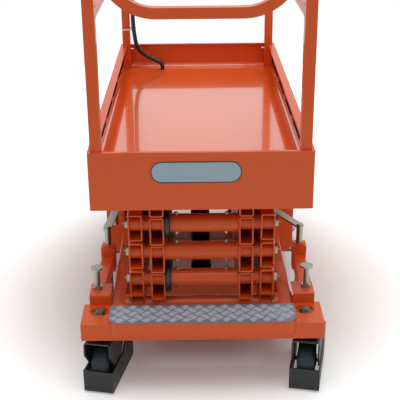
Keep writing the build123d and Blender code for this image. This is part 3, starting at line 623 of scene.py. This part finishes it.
@dataclass
class Patterns:
    """The trees that the sub-assemblies share."""

    shop: Shop
    weld: WeldBead = field(init=False)
    bolts: BoltHeads = field(init=False)
    bars: TreadBars = field(init=False)

    def __post_init__(self) -> None:
        """Build the trees."""
        self.weld = WeldBead(self.shop.material(ENAMEL))
        self.bolts = BoltHeads(self.shop.material(ZINC))
        # The bars take the lighter aluminium, a painted highlight
        self.bars = TreadBars(self.shop.material(CHEQUER_BAR_HIGHLIGHT))

    def lay_weld(
        self, name: str, chains: Sequence[Sequence[Point]], body: str, radius_mm: float = 2.5
    ) -> None:
        """Lay weld beads along chains of points.

        Args:
            name: Name of the piece.
            chains: Paths of the beads.
            body: Body they are painted onto.
            radius_mm: Radius of the bead.
        """
        guide = guide_mesh(name + " path", [], chains)
        sizes = {"Spacing": radius_mm * MM * BEAD_SPACING, "Radius": radius_mm * MM}
        mesh = self.weld.grow(name, guide, sizes)
        self.shop.piece(name, mesh, ENAMEL, body, "orange_paint")

    def set_bolts(
        self,
        name: str,
        points: Sequence[Point],
        body: str,
        across_mm: float = 6.5,
        height_mm: float = 5.0,
        washer_mm: float = 9.0,
        turn: tuple[float, float] = (0.0, 0.0),
    ) -> None:
        """Set bolt heads at points.

        Args:
            name: Name of the piece.
            points: Places of the heads' undersides.
            body: Body they are fixed to.
            across_mm: Radius across the head's corners.
            height_mm: Height of the head.
            washer_mm: Radius of the washer.
            turn: Turns about X and then Y, in radians, from facing up.
        """
        sizes = {
            "Across": across_mm * MM,
            "Height": height_mm * MM,
            "Washer": washer_mm * MM,
            "Turn X": turn[0],
            "Turn Y": turn[1],
        }
        mesh = self.bolts.grow(name, guide_mesh(name + " points", points), sizes)
        self.shop.piece(name, mesh, ZINC, body, "zinc_steel")


@dataclass
class Frame:
    """The CAD nodes' dressing and the places the sub-assemblies read from them."""

    shop: Shop
    nodes: dict[str, bpy.types.Object]
    record: dict[str, Any]

    def paint(self) -> None:
        """Give every CAD node its finish."""
        slots = {part["node"]: part["material_slot"] for part in self.record["subparts"]}
        for name, item in self.nodes.items():
            # The floor pan takes the enamel painted lighter for the light on its upward face
            finish = FLOOR_ENAMEL_PAINTED_LIGHT if name == "deck_floor" else NODE_FINISHES[slots[name]]
            for slot in item.material_slots:
                slot.material = self.shop.material(finish)

    def joint(self, name: str) -> Vector:
        """Return a joint's place at rest.

        Args:
            name: Name of the joint.

        Returns:
            Its point in metres.
        """
        joints = self.record["behaviour"]["joints"]
        return Vector(next(j["pos_m"] for j in joints if j["name"] == name))


@dataclass
class Tread:
    """The entry step's five-bar chequer pattern."""

    cell: float = 18.5 * MM
    margin: float = 9 * MM
    corner: float = 33 * MM
    bars_in_group: int = 5
    bar_gap: float = 5.2 * MM
    bar_length: float = 11.5 * MM
    bar_width: float = 1.15 * MM
    bar_height: float = 1.5 * MM
    bar_reach: float = 0.6

    def build(self, patterns: Patterns) -> None:
        """Set groups of raised bars, turned by turns left and right, over the tread plate.

        Args:
            patterns: Shared trees.
        """
        low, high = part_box("tread_plate")
        groups: dict[int, list[Point]] = {1: [], -1: []}
        rows = int((high[1] - low[1] - 2 * self.margin) / self.cell) + 1
        columns = int((high[0] - low[0] - 2 * self.margin) / self.cell) + 1
        first_x = (low[0] + high[0] - (columns - 1) * self.cell) / 2
        first_y = (low[1] + high[1] - (rows - 1) * self.cell) / 2
        sites = ((row, column) for row in range(rows) for column in range(columns) if (row + column) % 2)
        for row, column in sites:
            way = 1 if row % 2 else -1
            for bar in range(self.bars_in_group):
                offset = (bar - (self.bars_in_group - 1) / 2) * self.bar_gap * math.sqrt(0.5)
                x = first_x + column * self.cell - way * offset
                y = first_y + row * self.cell + offset
                if self._on_plate(x, y, low, high):
                    groups[way].append((x, y, high[2]))
        sizes = {"Length": self.bar_length, "Width": self.bar_width, "Height": self.bar_height}
        for way, points in groups.items():
            name = f"tread bars {'right' if way > 0 else 'left'}"
            heading = {"Heading": way * math.pi / 4}
            mesh = patterns.bars.grow(name, guide_mesh(name + " points", points), {**sizes, **heading})
            # The bars are set in the lighter aluminium, a painted highlight
            patterns.shop.piece(name, mesh, CHEQUER_BAR_HIGHLIGHT, "base", "chequer_plate")

    def _on_plate(self, x: float, y: float, low: Sequence[float], high: Sequence[float]) -> bool:
        """Say whether a bar at x, y stays clear of the plate's edges and rounded front corners."""
        reach = self.bar_length * self.bar_reach
        from_side = min(x - low[0], high[0] - x)
        from_front = y - low[1]
        if min(from_side, from_front, high[1] - y) < reach:
            return False
        if from_side >= self.corner or from_front >= self.corner:
            return True
        return math.hypot(self.corner - from_side, self.corner - from_front) < self.corner - reach


@dataclass
class Platform:
    """Trim of the platform: stitch slots, blank plate, bolts, welds and the control box's controls."""

    plate_centre: tuple[float, float] = (-13 * MM, 645 * MM)
    plate_size: tuple[float, float] = (242 * MM, 60 * MM)
    plate_border: float = 3.0 * MM
    plate_steps: int = 16
    slot_pitch: float = 240 * MM
    slot_length: float = 184 * MM
    slot_end: float = 30 * MM
    slot_height: float = 8 * MM
    slot_skin: float = 0.4 * MM
    sheet: float = 3 * MM
    post_size: float = 30 * MM
    bolt_drop: float = 17 * MM
    middle_rail_rise: float = 436 * MM
    stop_rise: float = 26 * MM
    stop_stem: float = 12 * MM
    button_drop: float = 30 * MM
    button_reach: float = 40 * MM
    button_radius: float = 11 * MM
    button_height: float = 8 * MM
    button_sides: int = 28
    tie_rise: float = 138 * MM
    tie_width: float = 52 * MM
    tie_depth: float = 40 * MM
    tie_gap: float = 0.8 * MM
    tie_thickness: float = 1.2 * MM
    tie_height: float = 5 * MM

    def build(self, patterns: Patterns) -> None:
        """Make the platform's trim.

        Args:
            patterns: Shared trees.
        """
        self._plate(patterns.shop)
        self._slots(patterns)
        self._bolts(patterns)
        self._welds(patterns)
        self._controls(patterns.shop)
        self._tie(patterns.shop)

    def _plate(self, shop: Shop) -> None:
        """Set the blank stadium-shaped plate on the front skirt.

        Args:
            shop: Materials and linking.
        """
        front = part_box("deck_skirt")[0][1]
        for name, shrink, depth, finish in (
            ("blank plate border", 0.0, 1.0 * MM, PLATE_EDGE),
            ("blank plate face", self.plate_border, 1.4 * MM, PLATE_FACE),
        ):
            width = self.plate_size[0] - 2 * shrink
            height = self.plate_size[1] - 2 * shrink
            outline = []
            radius = height / 2
            for side in SIDES:
                centre = self.plate_centre[0] + side * (width / 2 - radius)
                for step in range(self.plate_steps + 1):
                    angle = math.radians(-90 * side + 180 * step / self.plate_steps)
                    z = self.plate_centre[1] + radius * math.sin(angle)
                    outline.append((centre + radius * math.cos(angle), z))

            def fill(shape: bmesh.types.BMesh, outline: list = outline, depth: float = depth) -> None:
                """Fill the outline and give it its thickness."""
                verts = [shape.verts.new((x, front - depth, z)) for x, z in outline]
                face = shape.faces.new(verts)
                back = bmesh.ops.extrude_face_region(shape, geom=[face])
                moved = [v for v in back["geom"] if isinstance(v, bmesh.types.BMVert)]
                bmesh.ops.translate(shape, verts=moved, vec=(0, depth, 0))

            shop.piece(name, mesh_from(name, fill), finish, "platform", "orange_paint")

    def _slots(self, patterns: Patterns) -> None:
        """Lay thin dark strips of painted shade for the gaps along the top of the floor pan's turned-up
        sides, with stitch welds between them.

        Args:
            patterns: Shared trees.
        """
        low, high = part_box("deck_floor")
        top = high[2]
        skin = self.slot_skin
        count = int((high[1] - low[1] - 2 * self.slot_end) / self.slot_pitch)
        start = (low[1] + high[1] - count * self.slot_pitch) / 2
        gap = (self.slot_pitch - self.slot_length) / 2
        spans = [
            (start + i * self.slot_pitch + gap, start + (i + 1) * self.slot_pitch - gap)
            for i in range(count)
        ]

        def fill(shape: bmesh.types.BMesh) -> None:
            """Add a dark strip of painted shade on the pan's edge and one up the skirt for each gap."""
            for y0, y1 in spans:
                for side in SIDES:
                    wall = side * high[0]
                    near, far = sorted((wall, wall - side * self.sheet))
                    add_block(shape, (near, y0, top), (far, y1, top + skin))
                    near, far = sorted((wall, wall - side * skin))
                    add_block(shape, (near, y0, top + skin), (far, y1, top + self.slot_height))

        # The dark strips are painted shade where the slots' shadow falls
        name = "pan edge slot shade"
        patterns.shop.piece(name, mesh_from(name, fill), PAN_SLOT_SHADE, "platform", "black_steel")
        chains = []
        for before, after in zip(spans, spans[1:]):
            for side in SIDES:
                x = side * (high[0] - self.sheet / 2)
                chains.append([(x, before[1], top), (x, after[0], top)])
        patterns.lay_weld("pan stitch welds", chains, "platform", 2.2)

    def _bolts(self, patterns: Patterns) -> None:
        """Set the bolts that hold the rear posts to the skirt, their ends showing inside.

        Args:
            patterns: Shared trees.
        """
        rail_low, rail_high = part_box("guardrail")
        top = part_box("deck_skirt")[1][2]
        y = rail_high[1] - self.post_size / 2
        for side, name in ((-1, "left"), (1, "right")):
            edge = rail_low[0] if side < 0 else rail_high[0]
            points = [(edge - side * self.post_size, y, top - self.bolt_drop)]
            turn = (0.0, -side * math.pi / 2)
            patterns.set_bolts(f"post bolt {name}", points, "platform", 5.0, 11.0, 7.0, turn)

    def _welds(self, patterns: Patterns) -> None:
        """Lay the beads round the posts' feet and the rails' joints.

        Args:
            patterns: Shared trees.
        """
        low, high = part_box("guardrail")
        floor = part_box("deck_floor")[0][2] + self.sheet
        size = self.post_size
        chains = []
        for x in (low[0], high[0] - size):
            for y in (low[1], high[1] - size):
                chains.append(square((x, y, floor), (x + size, y + size, floor)))
        middle = floor + self.middle_rail_rise
        for x in (low[0], high[0] - size):
            for y in (low[1] + size, high[1] - size):
                chains.append([(x, y, middle + size), (x + size, y, middle + size)])
                chains.append([(x, y, middle), (x + size, y, middle)])
        patterns.lay_weld("guardrail welds", chains, "platform", 2.0)

    def _controls(self, shop: Shop) -> None:
        """Set buttons and a stop mushroom on the control box's front.

        Args:
            shop: Materials and linking.
        """
        low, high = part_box("control_box")
        front = low[1]
        middle = (low[0] + high[0]) / 2
        z = (low[2] + high[2]) / 2
        stop_z = z + self.stop_rise
        button_z = z - self.button_drop

        def knob(
            name: str,
            finish: Finish,
            place: tuple[float, float],
            size: tuple[float, float],
            gap: float = 0.0,
            top: float = 0.92,
        ) -> None:
            """Stand one round knob out of the box's front."""
            radius, depth = size
            centre = (place[0], front - gap - depth / 2, place[1])

            def fill(shape: bmesh.types.BMesh) -> None:
                """Add the knob."""
                add_prism(shape, centre, radius, depth, (0, -1, 0), self.button_sides, top)

            shop.piece(name, mesh_from(name, fill), finish, "platform", "box_plastic")

        button = (self.button_radius, self.button_height)
        left, right = middle - self.button_reach, middle + self.button_reach
        knob("stop collar", YELLOW_BUTTON, (middle, stop_z), (20 * MM, 4 * MM))
        knob("stop stem", RED_BUTTON, (middle, stop_z), (8 * MM, self.stop_stem))
        knob("stop head", RED_BUTTON, (middle, stop_z), (15 * MM, 8 * MM), self.stop_stem, 0.7)
        knob("raise button", GREEN_BUTTON, (left, button_z), button)
        knob("lower button", HOUSING, (right, button_z), button)

    def _tie(self, shop: Shop) -> None:
        """Wrap the white tie round the cable and the rear left post.

        Args:
            shop: Materials and linking.
        """
        low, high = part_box("guardrail")
        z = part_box("deck_floor")[1][2] + self.tie_rise
        x0 = low[0] - self.tie_gap
        x1 = low[0] + self.tie_width
        y0 = high[1] - self.tie_depth
        y1 = high[1] + self.tie_gap

        def fill(shape: bmesh.types.BMesh) -> None:
            """Add the four sides of the band and its lock."""
            thick = self.tie_thickness
            height = self.tie_height
            add_block(shape, (x0, y0, z), (x0 + thick, y1, z + height))
            add_block(shape, (x1 - thick, y0, z), (x1, y1, z + height))
            add_block(shape, (x0, y0, z), (x1, y0 + thick, z + height))
            add_block(shape, (x0, y1 - thick, z), (x1, y1, z + height))
            add_block(shape, (x1 - 10 * MM, y0 - 4 * MM, z - 1 * MM), (x1 - 3 * MM, y0, z + 6 * MM))

        shop.piece("cable tie", mesh_from("cable tie", fill), TIE, "platform", "hose_rubber")


@dataclass
class ArmStack:
    """Lock bolts, grease nipples and weld rings on the four stages of arms."""

    lock_x: float = 71 * MM
    lock_radius: float = 5 * MM
    lock_reach: float = 33 * MM
    tube_radius: float = 26 * MM
    inner_face: float = 104 * MM
    nut_height: float = 5 * MM
    nipple_height: float = 5 * MM

    def build(self, frame: Frame, patterns: Patterns) -> None:
        """Dress each stage.

        Args:
            frame: The painted frame.
            patterns: Shared trees.
        """
        base = frame.joint("lift")
        cross = frame.joint("stage_1_cross")
        rise = (cross.z - base.z) * 2
        run = (cross.y - base.y) * 2
        for stage in range(1, STAGES + 1):
            front = Vector((0, base.y, base.z + stage * rise))
            rear = Vector((0, base.y + run, base.z + (stage - 1) * rise))
            self._lock_bolts(patterns.shop, stage, (front, rear))
            chains = []
            for place in (front, rear):
                for side in SIDES:
                    x = side * (self.inner_face - 1 * MM)
                    chains.append(ring((x, place.y, place.z), self.tube_radius + 0.5 * MM, 0))
            patterns.lay_weld(f"cross tube welds {stage}", chains, f"inner_stage_{stage}", 2.6)
            self._nipples(patterns.shop, stage, (front, rear))

    def _lock_bolts(self, shop: Shop, stage: int, places: Sequence[Vector]) -> None:
        """Put the upright lock bolts through the cross tubes.

        Args:
            shop: Materials and linking.
            stage: Number of the stage, from the bottom.
            places: Centres of its two cross tubes.
        """

        def fill(shape: bmesh.types.BMesh) -> None:
            """Add two bolts with nuts at each cross tube."""
            for place in places:
                for side in SIDES:
                    centre = (side * self.lock_x, place.y, place.z)
                    add_prism(shape, centre, self.lock_radius * 0.8, 2 * self.lock_reach, sides=16)
                    for way in SIDES:
                        seat = place.z + way * (self.tube_radius + 2.5 * MM)
                        nut = (centre[0], centre[1], seat)
                        add_prism(shape, nut, self.lock_radius * 1.35, self.nut_height, sides=6)

        name = f"lock bolts {stage}"
        shop.piece(name, mesh_from(name, fill), ZINC, f"inner_stage_{stage}", "zinc_steel")

    def _nipples(self, shop: Shop, stage: int, places: Sequence[Vector]) -> None:
        """Put a grease nipple in each outer pin head.

        Args:
            shop: Materials and linking.
            stage: Number of the stage, from the bottom.
            places: Centres of its end pins.
        """
        low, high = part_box(f"pivot_pins_{stage}")

        def fill(shape: bmesh.types.BMesh) -> None:
            """Add a small stepped nipple at each pin's middle."""
            for place in places:
                for side in SIDES:
                    if place is places[0] and stage == STAGES:
                        continue
                    edge = high[0] if side > 0 else low[0]
                    way = (side, 0, 0)
                    tip = (edge + side * self.nipple_height, place.y, place.z)
                    add_prism(shape, (edge, place.y, place.z), 4 * MM, self.nipple_height, way, 6)
                    add_prism(shape, tip, 2.4 * MM, 7 * MM, way, 12, 0.7)

        name = f"grease nipples {stage}"
        shop.piece(name, mesh_from(name, fill), ZINC, f"inner_stage_{stage}", "zinc_steel")


@dataclass
class Chassis:
    """Welds and small fixings of the chassis, outriggers and side boxes."""

    weld_near: float = 6 * MM
    weld_far: float = 66 * MM
    sleeve_inset: float = 21 * MM
    sleeve_drop: float = 24 * MM
    sleeve_sink: float = 1.0 * MM
    screw_inset: float = 14 * MM

    def build(self, patterns: Patterns) -> None:
        """Dress the chassis.

        Args:
            patterns: Shared trees.
        """
        self._brackets(patterns)
        self._outriggers(patterns)
        self._boxes(patterns)

    def _brackets(self, patterns: Patterns) -> None:
        """Lay the beads where the outrigger brackets meet the rails.

        Args:
            patterns: Shared trees.
        """
        low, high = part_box("outrigger_brackets")
        rail_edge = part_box("side_rails")[1][0]
        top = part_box("rear_beam")[1][2]
        chains = []
        for side in SIDES:
            x = side * rail_edge
            for y0, y1 in (
                (low[1] + self.weld_near, low[1] + self.weld_far),
                (high[1] - self.weld_far, high[1] - self.weld_near),
            ):
                chains.append([(x, y0, top), (x, y1, top)])
        patterns.lay_weld("bracket welds", chains, "base", 2.5)

    def _outriggers(self, patterns: Patterns) -> None:
        """Set the pinch bolt on each outrigger's sleeve.

        Args:
            patterns: Shared trees.
        """
        for end in ("front", "rear"):
            for side, way in (("left", 1), ("right", -1)):
                low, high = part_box(f"outrigger_arm_{end}_{side}")
                edge = high[0] if side == "left" else low[0]
                y = high[1] - self.sleeve_inset if end == "front" else low[1] + self.sleeve_inset
                point = (edge - way * self.sleeve_sink, y, high[2] - self.sleeve_drop)
                patterns.set_bolts(
                    f"sleeve bolt {end} {side}",
                    [point],
                    f"outrigger_{end}_{side}",
                    6.5,
                    6.0,
                    9.0,
                    (0.0, way * math.pi / 2),
                )

    def _boxes(self, patterns: Patterns) -> None:
        """Set the lid screws on the side boxes.

        Args:
            patterns: Shared trees.
        """
        low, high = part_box("side_boxes")
        inset = self.screw_inset
        for side, name in ((-1, "left"), (1, "right")):
            x = side * high[0]
            points = [
                (x, y, z)
                for y in (low[1] + inset, high[1] - inset)
                for z in (low[2] + inset, high[2] - inset)
            ]
            turn = (0.0, side * math.pi / 2)
            patterns.set_bolts(f"box screws {name}", points, "base", 4.5, 2.0, 6.0, turn)


@dataclass
class Studio:
    """Pale floor, soft lamps and the camera at the photograph's viewing angle."""

    focal_px: float = 890.52
    frame_px: float = 400.0
    sensor_mm: float = 36.0
    eye: Point = (-18.9 * MM, -2798.4 * MM, 1480.5 * MM)
    yaw: float = 0.3916
    pitch: float = 22.638
    roll: float = 0.4843
    fill: float = 0.35
    floor_radius: float = 3.2
    floor_lift: float = 0.6
    # Radii over which the painted shade near the floor's middle fades into its glow
    shade_fade_start: float = 0.35
    shade_fade_end: float = 1.1

    def build(self) -> None:
        """Make the studio."""
        self._camera()
        self._lamps()
        self._floor()

    def _camera(self) -> None:
        """Place the camera from its eye point, its turn and its focal length."""
        data = bpy.data.cameras.new("camera")
        data.sensor_width = self.sensor_mm
        data.lens = self.focal_px / self.frame_px * self.sensor_mm
        data.clip_end = 60
        yaw, pitch, roll = (math.radians(a) for a in (self.yaw, self.pitch, self.roll))
        level = math.cos(pitch)
        forward = Vector((math.sin(yaw) * level, math.cos(yaw) * level, -math.sin(pitch)))
        right = Vector((math.cos(yaw), -math.sin(yaw), 0))
        down = forward.cross(right)
        across = math.cos(roll) * right + math.sin(roll) * down
        below = -math.sin(roll) * right + math.cos(roll) * down
        turn = Matrix((across, -below, -forward)).transposed().to_4x4()
        camera = bpy.data.objects.new("camera", data)
        camera.matrix_world = Matrix.Translation(self.eye) @ turn
        bpy.context.scene.collection.objects.link(camera)
        bpy.context.scene.camera = camera

    def _lamps(self) -> None:
        """Hang a broad lamp overhead, two soft ones in front and one behind, and light the sky."""
        for name, place, aim, size, power in (
            ("top lamp", (0.3, -0.8, 7.0), (0, 0, 0.5), 5.6, 240.0),
            ("front left lamp", (-2.8, -3.6, 2.4), (0, 0, 0.6), 2.2, 5.0),
            ("front right lamp", (3.0, -2.8, 1.8), (0, 0, 0.5), 2.0, 4.0),
            ("rear lamp", (0.3, 2.4, 4.0), (0, 0, 0.7), 2.4, 30.0),
        ):
            data = bpy.data.lights.new(name, "AREA")
            data.shape = "DISK"
            data.size = size
            data.energy = power
            lamp = bpy.data.objects.new(name, data)
            lamp.location = place
            lamp.rotation_euler = (Vector(aim) - Vector(place)).to_track_quat("-Z", "Y").to_euler()
            bpy.context.scene.collection.objects.link(lamp)
        world = bpy.data.worlds.new("studio")
        bpy.context.scene.world = world
        world.use_nodes = True
        tree = world.node_tree
        ground = tree.nodes["Background"]
        ground.inputs["Color"].default_value = (1, 1, 1, 1)
        ground.inputs["Strength"].default_value = self.fill
        seen = add_node(tree, "ShaderNodeBackground", links={"Color": (1, 1, 1, 1), "Strength": 1.0})
        mix = add_node(
            tree,
            "ShaderNodeMixShader",
            links={0: self._seen(tree), 1: ground.outputs[0], 2: seen.outputs[0]},
        )
        tree.links.new(mix.outputs[0], tree.nodes["World Output"].inputs["Surface"])

    def _seen(self, tree: bpy.types.NodeTree) -> bpy.types.NodeSocket:
        """Return a socket that is one for rays from the camera, a mirror or glass, and zero for others."""
        rays = add_node(tree, "ShaderNodeLightPath")
        mirrored = add_node(
            tree,
            "ShaderNodeMath",
            {"operation": "MAXIMUM"},
            {0: rays.outputs["Is Camera Ray"], 1: rays.outputs["Is Glossy Ray"]},
        )
        both = add_node(
            tree,
            "ShaderNodeMath",
            {"operation": "MAXIMUM"},
            {0: mirrored.outputs[0], 1: rays.outputs["Is Transmission Ray"]},
        )
        return both.outputs[0]

    def _floor(self) -> None:
        """Lay a plain pale floor that is seen as white away from the object, with painted shade near its
        middle where its glow is held back.
        """
        disc = {"cap_ends": True, "segments": 96, "radius": self.floor_radius}
        mesh = mesh_from("floor", lambda shape: bmesh.ops.create_circle(shape, **disc))
        material = bpy.data.materials.new("pale floor")
        material.use_nodes = True
        tree = material.node_tree
        shader = tree.nodes["Principled BSDF"]
        shader.inputs["Base Color"].default_value = linear("F4F4F2")
        shader.inputs["Roughness"].default_value = 0.9
        shader.inputs["Emission Color"].default_value = (1, 1, 1, 1)
        place = add_node(tree, "ShaderNodeTexCoord").outputs["Object"]
        reach = add_node(tree, "ShaderNodeVectorMath", {"operation": "LENGTH"}, {0: place})
        # Painted shade: the glow for camera and mirror rays fades out towards the middle, so the floor under
        # and round the object is darker whatever the lamps do
        outside_painted_shade = add_node(
            tree,
            "ShaderNodeMapRange",
            {"interpolation_type": "SMOOTHSTEP"},
            {
                "Value": reach.outputs["Value"],
                "From Min": self.shade_fade_start,
                "From Max": self.shade_fade_end,
                "To Max": self.floor_lift,
            },
        )
        lift = add_node(
            tree, "ShaderNodeMath", {"operation": "MULTIPLY"}, {0: self._seen(tree), 1: outside_painted_shade.outputs[0]}
        )
        tree.links.new(lift.outputs[0], shader.inputs["Emission Strength"])
        mesh.materials.append(material)
        floor = bpy.data.objects.new("floor", mesh)
        bpy.context.scene.collection.objects.link(floor)


def main() -> None:
    """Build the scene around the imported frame."""
    logging.basicConfig(level=logging.INFO, format="%(name)s: %(message)s")
    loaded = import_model()
    bpy.context.scene.view_settings.view_transform = "Standard"
    shop = Shop()
    frame = Frame(shop, loaded["nodes"], loaded["record"])
    frame.paint()
    patterns = Patterns(shop)
    Tread().build(patterns)
    Platform().build(patterns)
    ArmStack().build(frame, patterns)
    Chassis().build(patterns)
    Studio().build()


if __name__ == "__main__":
    main()
